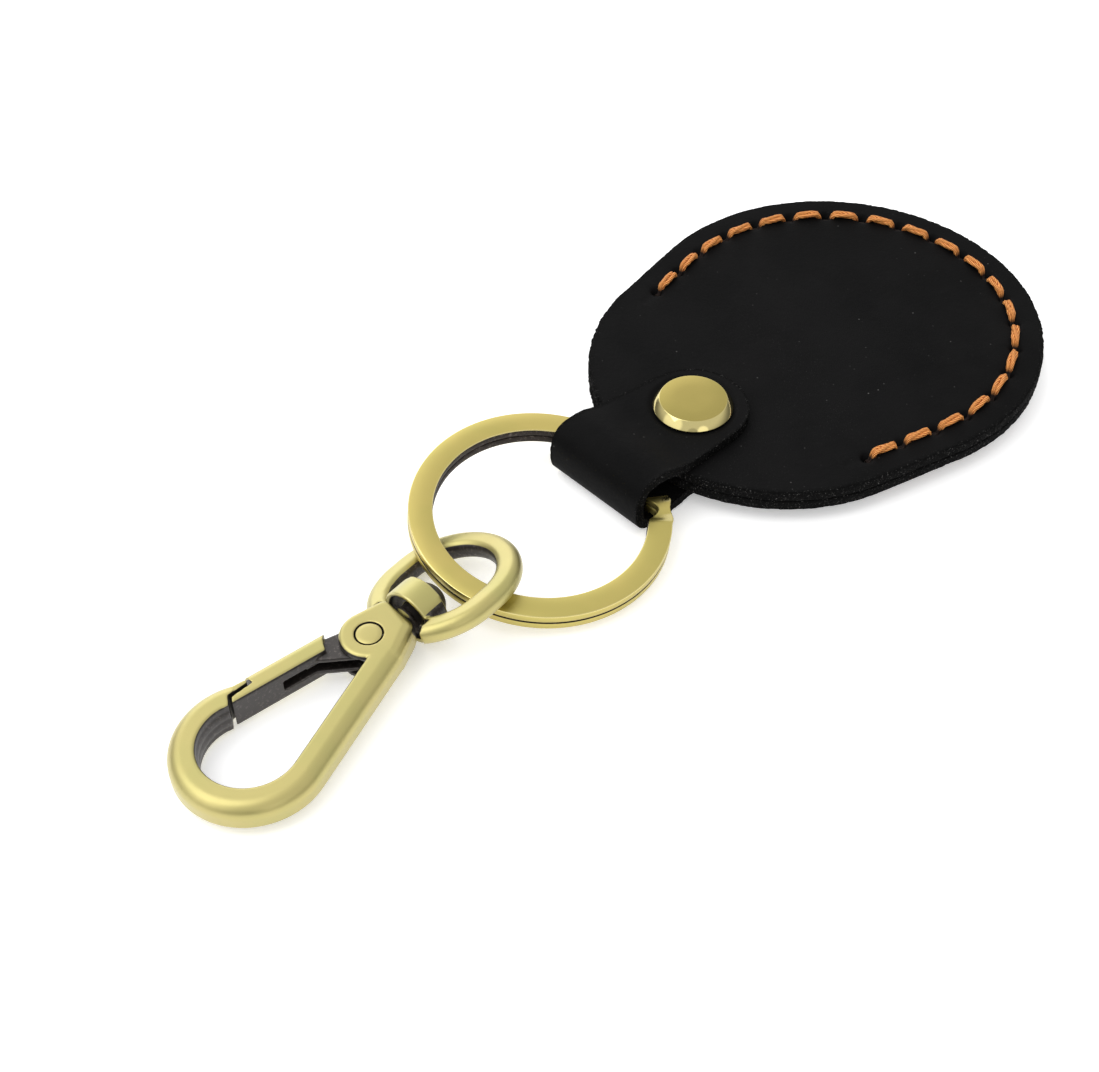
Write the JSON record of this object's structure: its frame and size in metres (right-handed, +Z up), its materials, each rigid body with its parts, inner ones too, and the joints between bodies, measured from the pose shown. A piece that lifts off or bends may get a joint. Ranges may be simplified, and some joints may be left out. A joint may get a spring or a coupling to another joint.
{
  "type": "tracker tag holder",
  "caption": "Stitched leather disc holder for a tracker tag, with a screwed strap loop, a split key ring and a swivel snap hook.",
  "frame": {"origin": "centre of the whole part in plan, on the surface it lies on", "axes": "+X along the leather body's centre line, from the hook towards the far stitched edge; +Z up, out of the front face; the part lies on its back"},
  "size_m": [0.1274, 0.0504, 0.0075],
  "materials": {
    "leather": "matte waxed black, rough cut edges",
    "thread": "waxed orange-brown thread",
    "antique_brass": "satin antique brass plating with dark patina in the recesses",
    "spring_steel": "drawn spring wire"
  },
  "bodies": {
    "holder": {"front_panel": "leather", "back_panel": "leather", "needle_thread": "thread", "bobbin_thread": "thread", "screw_post": "antique_brass"},
    "back_screw": {"back_screw": "antique_brass"},
    "strap": {"strap": "leather"},
    "ring": {"split_ring": "antique_brass"},
    "eye": {"swivel_eye": "antique_brass"},
    "hook": {"hook_body": "antique_brass", "gate_pin": "antique_brass", "gate_spring": "spring_steel"},
    "gate": {"gate": "antique_brass"}
  },
  "joints": [
    {"name": "back_screw_turn", "type": "hinge", "parent": "holder", "child": "back_screw", "pos_m": [0.01302, 0, 0.0005], "axis": [0, 0, 1], "continuous": true},
    {"name": "strap_pivot", "type": "hinge", "parent": "holder", "child": "strap", "pos_m": [0.01302, 0, 0.0035], "axis": [0, 0, 1], "range_deg": [-17.5, 12.5]},
    {"name": "ring_swing", "type": "hinge", "parent": "strap", "child": "ring", "pos_m": [0.00102, -0.00052, 0.00385], "axis": [-0.0436, 0.999, 0], "range_deg": [-90, 90], "deforming": ["strap"]},
    {"name": "eye_travel", "type": "hinge", "parent": "ring", "child": "eye", "pos_m": [-0.01132, -0.00046, 0.00385], "axis": [0.0053, -0.1218, 0.9925], "range_deg": [-90, 90]},
    {"name": "hook_swivel", "type": "hinge", "parent": "eye", "child": "hook", "pos_m": [-0.03201, -0.00241, 0.00351], "axis": [0.9903, 0.1321, 0.0427], "continuous": true},
    {"name": "gate_hinge", "type": "hinge", "parent": "hook", "child": "gate", "pos_m": [-0.03732, -0.00271, 0.00329], "axis": [-0.0424, -0.0057, 0.9991], "range_deg": [0, 28], "stiffness_Nm_per_rad": 0.02, "springref_deg": -20.05, "deforming": ["gate_spring"]}
  ]
}
